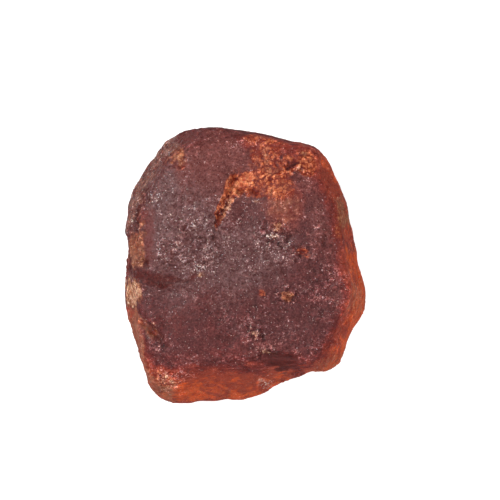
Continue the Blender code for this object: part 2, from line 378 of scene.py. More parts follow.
class Shading:
    """The node tree of one material, in which sizes are in millimetres."""

    def __init__(self, name: str) -> None:
        """Starts a material that has only its shader."""
        self.material = bpy.data.materials.new(name)
        self.material.use_nodes = True
        self.tree = self.material.node_tree
        self.shader = self.tree.nodes["Principled BSDF"]
        self.place = self.node("ShaderNodeTexCoord", {}, {}).outputs["Object"]

    def node(self, kind: str, settings: dict, sockets: dict) -> bpy.types.Node:
        """Adds any node.

        Args:
            kind: The node's Blender type.
            settings: Its properties by name, set first.
            sockets: Values or links of its inputs, by name or number.

        Returns:
            The new node.
        """
        made = self.tree.nodes.new(kind)
        for name, setting in settings.items():
            setattr(made, name, setting)
        for name, given in sockets.items():
            self.feed(made.inputs[name], given)
        return made

    def feed(self, socket: bpy.types.NodeSocket, given: Input) -> None:
        """Links a value to an input, or sets the input.

        Args:
            socket: The input.
            given: A value to link, or a number or a colour.
        """
        if isinstance(given, Value):
            given = given.socket
        if isinstance(given, bpy.types.NodeSocket):
            self.tree.links.new(given, socket)
        elif isinstance(given, tuple) and len(given) == 3 and socket.type == "RGBA":
            socket.default_value = (*given, 1)
        else:
            socket.default_value = given

    def dress(self, inputs: dict[str, Input]) -> bpy.types.Material:
        """Feeds the shader's inputs.

        Args:
            inputs: What each takes, by name.

        Returns:
            The finished material.
        """
        for name, given in inputs.items():
            self.feed(self.shader.inputs[name], given)
        return self.material

    def math(self, operation: str, *terms: Input) -> Value:
        """A Math node on one or two terms."""
        made = self.node("ShaderNodeMath", {"operation": operation}, dict(enumerate(terms)))
        return Value(self, made.outputs[0])

    def layer(self, layer: Layer) -> Value:
        """Reads a layer that is kept in the mesh."""
        made = self.node("ShaderNodeAttribute", {"attribute_name": layer.value}, {})
        return Value(self, made.outputs["Fac"])

    def cloud(self, size: float, detail: float = 2.0, warp: float = 0.0) -> Value:
        """Smooth noise from 0 to 1.

        Args:
            size: Size of its forms in millimetres.
            detail: How many times finer forms are added.
            warp: How much the forms are bent.

        Returns:
            The noise.
        """
        look = {"Scale": 1 / (size * MM), "Detail": detail, "Distortion": warp}
        made = self.node("ShaderNodeTexNoise", {}, {"Vector": self.place, **look})
        return Value(self, made.outputs["Fac"])

    def cells(self, size: float, output: str = "Distance", feature: str = "F1") -> Value:
        """Irregular cells.

        Args:
            size: Size of a cell in millimetres.
            output: Distance for how far its middle is, or Color for a random number a cell.
            feature: Which distance is read.

        Returns:
            The output that was asked for.
        """
        sockets = {"Vector": self.place, "Scale": 1 / (size * MM)}
        made = self.node("ShaderNodeTexVoronoi", {"feature": feature}, sockets)
        return Value(self, made.outputs[output])

    def mix(self, share: Input, under: Input, over: Input) -> Value:
        """Lays one colour over another.

        Args:
            share: How much of the upper colour shows.
            under: The colour below.
            over: The colour above.

        Returns:
            The mixed colour.
        """
        settings = {"data_type": "RGBA"}
        sockets = {"Factor": share, 6: under, 7: over}
        return Value(self, self.node("ShaderNodeMix", settings, sockets).outputs[2])

    def scale(self, colour: Input, share: Input) -> Value:
        """Makes a colour darker or lighter by a factor."""
        made = self.node("ShaderNodeVectorMath", {"operation": "SCALE"}, {0: colour, "Scale": share})
        return Value(self, made.outputs[0])

    def filter(self, colour: Input, passed: Colour) -> Value:
        """Lets only a share of each of a colour's three parts pass."""
        made = self.node("ShaderNodeVectorMath", {"operation": "MULTIPLY"}, {0: colour, 1: passed})
        return Value(self, made.outputs[0])


# ---- the finish --------------------------------
@dataclass(frozen=True)
class FrostedGarnet:
    """The finish of the worn crystal: a dull frosted skin over deep red, with what clings to it.

    Attributes:
        body: The deep red crystal under its frosting.
        rose: Its lighter, pinkish crust.
        dusk: Its greyish, most worn crust.
        wine: Clearer crystal, and the first painted glow where light starts to come through.
        ember: Painted glow where it is thin and light comes through.
        flame: The brightest painted glow, on the thinnest of those edges.
        buff: A thin veil of dry dust.
        rust: Iron stain in the gaps of torn places.
        stain: Iron stain on their grains.
        glow: The brightest stain, which also serves as a painted highlight on the stain's crests.
        loam: Dried clay in the gaps of crevices.
        clay: Dried clay on their grains.
        sand: The shaded side of the palest crumbs.
        cream: The palest crumbs, and in some small patches painted glints as well.
        shade: Crevices that hold no light.
        haze: Crushed crystal on broken edges: its paler colour, with a painted sheen.
        speck: Painted glints of tiny broken faces that catch the light.
        thick: The share of red, green and blue that comes back from its darker, deeper spots, painted shade
            of hollows among them.
        ior: Refraction of the crystal.
        shine: How strongly the skin reflects.
        roughness: Of the frosted skin.
        softness: Share of light that passes through the skin.
        depth: How far light goes into the stone, in millimetres.
        passing: The share of that depth for red, green and blue.
        glaze: Roughness of the glints.
        sizes: Sizes of the noises from the finest frosting to the broadest blotches, in millimetres.
        grain_size: Size of the grains in torn places.
        spark_size: Size of single sparks.
        bump: Height of the frosting that only the light sees.
    """

    body: Colour = (0.094, 0.020, 0.020)
    rose: Colour = (0.160, 0.043, 0.037)
    dusk: Colour = (0.124, 0.054, 0.053)
    wine: Colour = (0.160, 0.020, 0.016)
    ember: Colour = (0.285, 0.041, 0.019)
    flame: Colour = (0.475, 0.064, 0.010)
    buff: Colour = (0.230, 0.085, 0.048)
    rust: Colour = (0.182, 0.015, 0.003)
    stain: Colour = (0.425, 0.102, 0.037)
    glow: Colour = (0.610, 0.192, 0.076)
    loam: Colour = (0.190, 0.048, 0.020)
    clay: Colour = (0.340, 0.135, 0.066)
    sand: Colour = (0.300, 0.120, 0.060)
    cream: Colour = (0.580, 0.335, 0.220)
    shade: Colour = (0.080, 0.010, 0.008)
    haze: Colour = (0.240, 0.140, 0.135)
    speck: Colour = (0.900, 0.760, 0.720)
    thick: Colour = (1.00, 0.52, 0.48)
    ior: float = 1.74
    shine: float = 0.14
    roughness: float = 0.55
    softness: float = 0.40
    depth: float = 1.2
    passing: Colour = (1.00, 0.30, 0.16)
    glaze: float = 0.12
    sizes: tuple[float, ...] = (0.15, 0.36, 0.55, 1.2, 2.6)
    grain_size: float = 0.42
    spark_size: float = 0.13
    bump: float = 0.07

    def material(self) -> bpy.types.Material:
        """Makes the material.

        Returns:
            The material, which reads the layers of the stone's mesh.
        """
        skin = Coats(Shading("frosted_garnet"), self)
        self.lay_crystal(skin)
        self.lay_dirt(skin)
        skin.lay(skin.shade, self.shade)
        self.mottle(skin)
        self.lay_glints(skin)
        coated = (0.65 + skin.dusk * 0.35) * (1 - skin.shade * 0.8) * skin.dull
        bump = {"Height": skin.grit * 0.7 + skin.fine, "Distance": self.bump * MM, "Strength": 1.0}
        inputs = {
            "Base Color": skin.colour,
            "Roughness": self.roughness + (skin.fine - 0.5) * 0.3,
            "Normal": skin.shading.node("ShaderNodeBump", {}, bump).outputs["Normal"],
            "Coat Weight": (skin.grit - 0.50).step(0.0, 0.2) * (0.1 + skin.cluster * 0.9) * coated,
            "Coat Roughness": self.glaze,
            "IOR": self.ior,
            "Specular IOR Level": self.shine,
            "Subsurface Weight": self.softness,
            "Subsurface Radius": self.passing,
            "Subsurface Scale": self.depth * MM,
        }
        return skin.shading.dress(inputs)

    def lay_crystal(self, skin: "Coats") -> None:
        """Lays the stone's own colours from its dark middle outwards, and a painted glow on its thin rim.

        Args:
            skin: The coats so far.
        """
        skin.lay((skin.broad * 0.6 + skin.blotch * 0.4).step(0.45, 0.66) * 0.35, self.wine)
        skin.lay(skin.worn(Layer.ROSE, 0.0, 1.1, 0.25), self.rose)
        skin.lay(skin.worn(Layer.DUSK, 0.0, 1.1, 0.35), self.dusk)
        # Painted glow: the thinner the stone, the more of the light coming through it is painted into its
        # colour.
        skin.lay(skin.thin.step(0.0, 0.40), self.wine)
        skin.lay(skin.thin.step(0.25, 0.75), self.ember)
        skin.lay(skin.thin.step(0.82, 1.02), self.flame)

    def lay_dirt(self, skin: "Coats") -> None:
        """Lays dust, iron stain, clay and pale crumbs, each darker between its grains, with painted
        highlight on crests and painted shade in hollows.

        Args:
            skin: The coats so far.
        """
        skin.lay(skin.worn(Layer.BUFF, 0.0, 1.0, 0.5), self.buff)
        mix, facet = skin.shading.mix, skin.shading.cells(self.grain_size, "Color")
        wall = skin.shading.cells(self.grain_size, "Distance", "DISTANCE_TO_EDGE")
        # Grain tones: crests are painted lighter and hollows darker, as highlight and shade.
        grains = 0.5 + skin.crest * 0.5 - skin.hollow * 0.45 + (skin.lumps - 0.5)
        grains = grains + (skin.fine - 0.5) * 0.8 + (skin.grit - 0.5) * 1.1
        grains = grains + (facet - 0.5) * 0.8 - (0.12 - wall).step(0.0, 0.10) * 0.6
        stain = mix(grains.step(0.10, 0.65), self.rust, self.stain)
        # Grains that stand highest in value, crests among them, take the glow, partly as a painted
        # highlight.
        stain = mix(grains.step(0.66, 1.20) * 0.8, stain, self.glow)
        lit = skin.soaked + (skin.fine - 0.5) * 0.6 + (skin.blotch - 0.5) * 0.4
        stain = mix(lit.step(0.72, 0.98) * (0.65 + grains * 0.4), stain, self.glow)
        skin.lay(skin.worn(Layer.STAIN, 0.15, 0.55, 0.45) * 0.8, self.rust)
        skin.lay(skin.worn(Layer.STAIN, 0.0, 0.95, 0.8), stain)
        skin.lay(skin.worn(Layer.CLAY, 0.1, 0.95, 0.8), mix(grains.step(0.10, 0.90), self.loam, self.clay))
        skin.lay(skin.worn(Layer.CREAM, 0.2, 0.90, 0.8), mix(grains.step(0.05, 0.95), self.sand, self.cream))

    def mottle(self, skin: "Coats") -> None:
        """Breaks the colour into lighter and darker spots, the darkest of them a deeper red, and paints
        shade into hollows and highlight onto crests.

        Args:
            skin: The coats so far.
        """
        calm = (1 - skin.thin * 0.55) * (1 - skin.soaked * 0.55)
        mottle = (skin.grit - 0.5) * 3.0 + (skin.fine - 0.5) * 2.0 - 0.05
        mottle = mottle * (skin.frost * 0.7 + 0.3) * calm
        # Painted shade in hollows and painted highlight on crests.
        painted_hollow_crest_light = 1 - skin.hollow * 0.42 * (1 - skin.soaked * 0.4) + skin.crest * 0.3 * (1 - skin.soaked * 0.6)
        tone = (1 + mottle + (skin.blotch - 0.5) * 0.4).step(-0.6, 2.6) * painted_hollow_crest_light
        skin.colour = skin.shading.scale(skin.colour, tone * 1.92)
        # Hollows also turn a deeper red, as painted shade.
        deep = (0.52 - tone + skin.hollow * 0.2).step(0.0, 0.30)
        skin.lay(deep, skin.shading.filter(skin.colour, self.thick))

    def lay_glints(self, skin: "Coats") -> None:
        """Lays a painted sheen over clusters of crushed crystal, and painted glints of tiny broken faces.

        Args:
            skin: The coats so far.
        """
        mix, scale = skin.shading.mix, skin.shading.scale
        # Share of painted glints and sheen: on the frosted skin, less on thin edges and in shade, stain and
        # clay.
        painted_glint_share = skin.frost.step(0.10, 0.60) * (1 - skin.thin.step(0.2, 0.9) * 0.35) * (1 - skin.shade * 0.7)
        painted_glint_share = painted_glint_share * skin.dull
        crushed_and_sheen = mix(0.22 + skin.dusk * 0.25, scale(skin.colour, 2.4), self.haze)
        skin.lay(skin.cluster * (skin.grit - 0.42).step(0.0, 0.2) * painted_glint_share * 0.36, crushed_and_sheen)
        # Painted glints: on the edges of lumps, and as sparks that crowd on crests and glitter.
        edge = (0.05 - abs(skin.lumps - 0.5)).step(0.0, 0.04) * (skin.grit - 0.46).step(0.0, 0.10)
        spark = skin.shading.cloud(self.spark_size, 2.0, 0.6) + skin.cluster * 0.06
        spark = (spark + skin.crest * 0.03 + skin.glitter * 0.09 - 0.655).step(0.0, 0.12)
        glint = mix(0.62 - skin.dusk * 0.5, self.speck, scale(skin.colour, 3.2))
        skin.lay((edge * skin.cluster * 0.35 + spark) * painted_glint_share, glint)


class Coats:
    """The colour as it is laid on, and what decides where: noises about 0.5, and layers from 0 to 1."""

    def __init__(self, shading: Shading, finish: FrostedGarnet) -> None:
        """Starts with the stone's body.

        Args:
            shading: The material's nodes.
            finish: The finish, which holds the noises' sizes.
        """
        self.shading = shading
        self.colour: Value | Colour = finish.body
        looks = ((3.0, 0.0), (3.0, 0.0), (3.0, 0.5), (4.0, 0.8), (3.0, 0.6))
        noises = [shading.cloud(size, *look) for size, look in zip(finish.sizes, looks)]
        self.grit, self.fine, self.lumps, self.blotch, self.broad = noises
        self.ragged = (self.fine - 0.5) * 1.6 + (self.blotch - 0.5) * 2.0
        self.frost = shading.layer(Layer.FROST)
        self.hollow = shading.layer(Layer.HOLLOW)
        self.crest = shading.layer(Layer.CREST)
        self.dusk = shading.layer(Layer.DUSK)
        self.soaked = shading.layer(Layer.STAIN)
        self.glitter = shading.layer(Layer.GLITTER)
        self.shade = self.worn(Layer.SHADE, 0.0, 0.9, 0.3)
        thin = shading.layer(Layer.EMBER)
        uneven = (self.blotch - 0.5) * 0.7 + (self.lumps - 0.5) * 0.5
        self.thin = thin + uneven * thin.step(0.0, 0.4)
        self.dull = (1 - self.soaked.step(0.1, 0.6) * 0.45) * (1 - shading.layer(Layer.CLAY) * 0.6)
        cluster = (self.blotch - 0.5) * 1.6 + (self.fine - 0.5) * 1.2
        self.cluster = (cluster + self.crest * 0.25 + self.frost * 0.3 + self.glitter * 0.2).step(0.20, 0.75)

    def lay(self, share: Value, over: Input) -> None:
        """Lays a colour over the colour so far."""
        self.colour = self.shading.mix(share, self.colour, over)

    def worn(self, layer: Layer, low: float, high: float, tear: float) -> Value:
        """Reads a layer with its edge torn by noise.

        Args:
            layer: The layer.
            low: Amount at which it starts to show.
            high: Amount at which it covers.
            tear: How much its edge is torn.

        Returns:
            How much of it shows.
        """
        amount = self.shading.layer(layer)
        return (amount + self.ragged * tear * amount.step(0.0, 0.3)).step(low, high)


# ---- the stone --------------------------------
@dataclass
class Skin:
    """The fine surface of the stone as arrays, in millimetres.

    Attributes:
        mesh: The mesh that the arrays belong to.
        points: Where its points are.
        edges: Pairs of joined points.
    """

    mesh: bpy.types.Mesh
    points: np.ndarray
    edges: np.ndarray

    @classmethod
    def over(cls, node: bpy.types.Object, spacing: float) -> "Skin":
        """Lays an even mesh over a solid.

        Args:
            node: The solid.
            spacing: Distance between the mesh's points in millimetres.

        Returns:
            The skin.
        """
        draft = place("draft", node.data.copy())
        weld = draft.modifiers.new("weld", "WELD")
        weld.merge_threshold = 1e-6
        rounding = draft.modifiers.new("rounding", "SUBSURF")
        rounding.levels = rounding.render_levels = 2
        even = draft.modifiers.new("even", "REMESH")
        even.mode = "VOXEL"
        even.voxel_size = spacing * MM
        graph = bpy.context.evaluated_depsgraph_get()
        mesh = bpy.data.meshes.new_from_object(draft.evaluated_get(graph))
        bpy.data.objects.remove(draft)
        mesh.materials.clear()
        points = np.empty(len(mesh.vertices) * 3)
        mesh.vertices.foreach_get("co", points)
        edges = np.empty(len(mesh.edges) * 2, dtype=np.int64)
        mesh.edges.foreach_get("vertices", edges)
        return cls(mesh, points.reshape(-1, 3) / MM, edges.reshape(-1, 2))

    def smoothed(self, values: np.ndarray, rounds: int) -> np.ndarray:
        """Evens out values between joined points.

        Args:
            values: One row for each point.
            rounds: How many times each value moves halfway to its neighbours' mean.

        Returns:
            The evened values.
        """
        start, end = self.edges.T
        count = np.bincount(self.edges.ravel(), minlength=len(self.points))[:, None]
        evened = values.reshape(len(values), -1).copy()
        for _ in range(rounds):
            total = [
                np.bincount(start, column[end], len(column)) + np.bincount(end, column[start], len(column))
                for column in evened.T
            ]
            evened = (evened + np.stack(total, axis=1) / count) / 2
        return evened.reshape(values.shape)

    def normals(self) -> np.ndarray:
        """Reads the surface's direction.

        Returns:
            A unit vector for each point.
        """
        self.store()
        facing = np.empty(len(self.points) * 3)
        self.mesh.vertex_normals.foreach_get("vector", facing)
        return facing.reshape(-1, 3)

    def store(self) -> None:
        """Puts the points back into the mesh, in metres."""
        self.mesh.vertices.foreach_set("co", (self.points * MM).ravel())
        self.mesh.update()

    def keep(self, layer: Layer, amount: np.ndarray) -> None:
        """Keeps a layer in the mesh."""
        made = self.mesh.attributes.new(layer.value, "FLOAT", "POINT")
        made.data.foreach_set("value", np.clip(amount, 0, 1).astype(np.float32))


@dataclass
class Relief:
    """What weather and breaking did to the skin. Heights are in millimetres.

    Attributes:
        wear: Where the solid's form is worn down before anything else.
        wear_rounds: How many times it is evened there.
        wear_height: Height above which that is done.
        swell: How far the solid's rim is filled out, or taken back, where waves in its outline are.
        grit: (size, height) of the frosting all over.
        chips: (size, height) of the small broken faces, which tilt out of the skin.
        chip_reach: Tilt at which they are cut off.
        pit_size: Spacing of the pits.
        pit_depth: Their depth.
        pit_free: Share of the places for one that have none.
        grain_size: Size of the grains in torn places.
        grain_height: How far they stand up.
        torn: Where the skin is torn into grains.
        rough: Where it is broken into small faces.
        smooth: Where it is worn smooth.
        upward: Upward shares of the skin's direction between which the broad face begins.
        tears: Where the rest is torn into grains.
        breaks: Where the rest is broken into small faces.
        least_rough: How rough the skin is at least.
        cracks: Narrow cracks.
        steps: Edges where one broken layer ends above the next; each is down on its left.
        step_reach: How far a step can be felt to both sides.
        striae: The lines that the left bevel's fine striations follow.
        stria_rate: How close they lie, in radians for each millimetre.
    """

    wear: Seam = Seam(((-7.6, -8.0), (-5.4, -8.8), (-2.0, -8.9), (1.2, -8.8), (3.4, -8.9)), 1.7, 1.0, 0.4)
    wear_rounds: int = 160
    wear_height: float = 3.0
    swell: tuple[Patch, ...] = (
        Patch(8.95, 1.9, 1.0, 1.4, 0.17), Patch(9.2, -4.6, 1.1, 2.0, 0.18),
        Patch(-5.9, -11.2, 1.4, 0.9, 0.12), Patch(-2.6, -11.1, 1.4, 0.8, 0.08),
        Patch(5.2, 10.0, 1.1, 0.8, 0.14), Patch(-9.6, 5.9, 0.9, 1.2, 0.14),
        Patch(-9.6, -5.2, 0.9, 1.6, 0.13), Patch(0.6, -10.8, 1.8, 0.8, 0.12),
        Patch(7.1, 8.2, 0.8, 1.4, -0.12), Patch(-8.3, -8.7, 0.8, 0.8, -0.12),
        Patch(-9.7, 1.6, 0.8, 1.0, -0.12),
    )
    grit: tuple[Span, ...] = ((1.70, 0.050), (0.80, 0.024), (0.42, 0.024), (0.26, 0.026))
    chips: tuple[Span, ...] = ((0.95, 0.17), (0.45, 0.17))
    chip_reach: float = 0.6
    pit_size: float = 0.55
    pit_depth: float = 0.08
    pit_free: float = 0.72
    grain_size: float = 0.52
    grain_height: float = 0.20
    torn: Areas = (
        Patch(2.3, 7.4, 2.1, 1.8, 1.0, 0.5), Patch(4.7, 8.9, 1.4, 1.3, 1.0, 0.5),
        Patch(1.6, 9.6, 2.0, 1.2, 0.7, 0.5), Patch(-1.5, 5.2, 0.4, 0.9, 0.5, 0.5),
        Patch(-5.5, 8.9, 1.0, 0.9, 0.7, 0.5), Patch(-8.5, 2.6, 0.6, 2.4, 1.0, 0.5),
        Patch(-9.3, -2.2, 0.8, 1.1, 1.0, 0.5), Patch(-6.4, -9.5, 1.4, 0.8, 0.7, 0.5, -35),
    )
    rough: Areas = (
        Patch(-6.6, 1.3, 1.9, 1.2, 0.7, 0.5), Patch(-3.6, 2.0, 2.2, 2.6, 0.68, 0.5),
        Patch(2.2, 2.6, 1.8, 1.4, 1.0, 0.5), Patch(6.8, -2.4, 2.0, 2.4, 0.5, 0.5),
        Patch(3.3, -6.6, 2.8, 1.1, 0.48, 0.5), Patch(3.4, -2.3, 1.0, 0.8, 1.0, 0.5),
        Patch(0.8, -5.4, 0.9, 0.8, 1.0, 0.5), Patch(2.6, -9.3, 2.0, 0.9, 0.9, 0.5),
        Patch(-6.9, -9.2, 1.6, 1.6, 0.7, 0.5), Patch(8.3, -7.0, 1.2, 1.4, 0.6, 0.5),
        Patch(4.6, 1.1, 1.1, 0.8, 1.0, 0.5), Patch(-0.1, 6.9, 0.9, 0.9, 1.0, 0.5),
        Seam(((-0.2, 7.2), (-0.8, 6.2), (-1.5, 5.0), (-2.1, 3.6)), 0.75, 1.0, 0.5),
    )
    smooth: Areas = (
        Patch(0.2, 4.5, 1.5, 1.6, 0.2, 0.5), Patch(-2.8, 8.6, 3.6, 2.0, 0.25),
        Patch(-6.0, -4.4, 1.7, 1.4, 0.3), Patch(3.0, -7.9, 1.3, 0.7, 1.0, 0.5),
        Patch(-0.5, -9.7, 3.4, 1.1, 0.7, 0.5), Seam(LEFT_RIDGE, 0.75, 0.8, 0.5),
    )
    upward: Span = (0.25, 0.6)
    tears: Drift = Drift(2.6, 6, 0.45, 0.8)
    breaks: Drift = Drift(3.2, 5, 0.0, 0.7, 0.40)
    least_rough: float = 0.12
    cracks: tuple[Seam, ...] = (
        Seam(((-2.3, 2.8), (-1.95, 4.35), (-1.35, 5.6), (-0.9, 6.85), (-0.5, 7.75)), 0.20, 0.04),
        Seam(((3.15, 8.0), (3.8, 8.25), (4.6, 8.6)), 0.16, 0.12),
        Seam(((-5.7, 9.1), (-6.95, 7.85), (-7.8, 6.35), (-8.3, 4.9)), 0.30, 0.10),
        Seam(((-9.1, -3.4), (-8.4, -4.4), (-7.75, -5.15), (-6.9, -5.9), (-6.5, -7.1)), 0.30, 0.12),
    )
    steps: tuple[Seam, ...] = (
        Seam(((4.8, -7.5), (3.2, -7.35), (2.2, -7.2), (1.0, -6.9)), 0.10, 0.10),
        Seam(((6.4, 5.6), (6.5, 2.4), (6.1, 0.4)), 0.14, 0.06),
    )
    step_reach: float = 0.9
    striae: Seam = Seam(((-4.6, 10.6), (-7.0, 8.6), (-8.6, 6.2), (-9.4, 3.4), (-9.6, 0.6)), 1.8, 0.03)
    stria_rate: float = 14.0

    def work(self, skin: Skin) -> None:
        """Works the relief into the skin.

        Args:
            skin: The skin, whose points are moved along their normals.
        """
        self.fit(skin)
        points, facing = skin.points, skin.normals()
        plan = points[:, :2] + waves(points, (1, 2), 2)
        above = smooth_step(facing[:, 2], *self.upward)
        torn = np.maximum(above * covered(self.torn, plan), (1 - above) * self.tears.cover(points))
        smooth = above * covered(self.smooth, plan)
        broken = self.least_rough + self.breaks.cover(points)
        rough = np.clip(np.maximum(above * covered(self.rough, plan), broken) - smooth, 0, 1)

        height = sum(
            rise * cloud(points, size, 10 + index) for index, (size, rise) in enumerate(self.grit)
        ) * (0.75 + 0.5 * rough - 0.45 * smooth)
        for index, (size, depth) in enumerate(self.chips):
            faces = Cells.read(points, size, 1 + 3 * index)
            tilt = (faces.offset * faces.lean).sum(axis=1)
            height += depth * rough * np.clip(tilt, -self.chip_reach, self.chip_reach)
        pits = Cells.read(points, self.pit_size, 2)
        pitted = (pits.chance > self.pit_free) * smooth_step(pits.near, 0.55, 0.1) * (0.25 + rough)
        height -= self.pit_depth * pitted
        grains = Cells.read(points, self.grain_size, 3)
        domes = np.clip(grains.edge / 0.5, 0, 1) * (0.35 + 0.65 * grains.chance) - 0.4
        height += self.grain_height * torn * domes
        for crack in self.cracks:
            height -= above * crack.cover(plan)
        for step in self.steps:
            height += above * step.step(plan, self.step_reach)
        distance, side, _ = self.striae.measure(plan)
        lines = np.sin(side * self.stria_rate + 2.2 * cloud(points, 2.0, 8))
        height += self.striae.amount * lines * smooth_step(distance, self.striae.width, 0.6)
        skin.points = points + facing * height[:, None]
        skin.keep(Layer.FROST, 0.55 + 0.45 * rough - 0.30 * smooth)

    def fit(self, skin: Skin) -> None:
        """Wears down one edge of the skin, and fills out or takes back its rim.

        Args:
            skin: The skin, whose points are moved.
        """
        plan = skin.points[:, :2]
        worn = self.wear.cover(plan) * (skin.points[:, 2] > self.wear_height)
        skin.points += (skin.smoothed(skin.points, self.wear_rounds) - skin.points) * worn[:, None]
        swollen = sum(patch.cover(plan) for patch in self.swell)
        skin.points += skin.normals() * swollen[:, None]


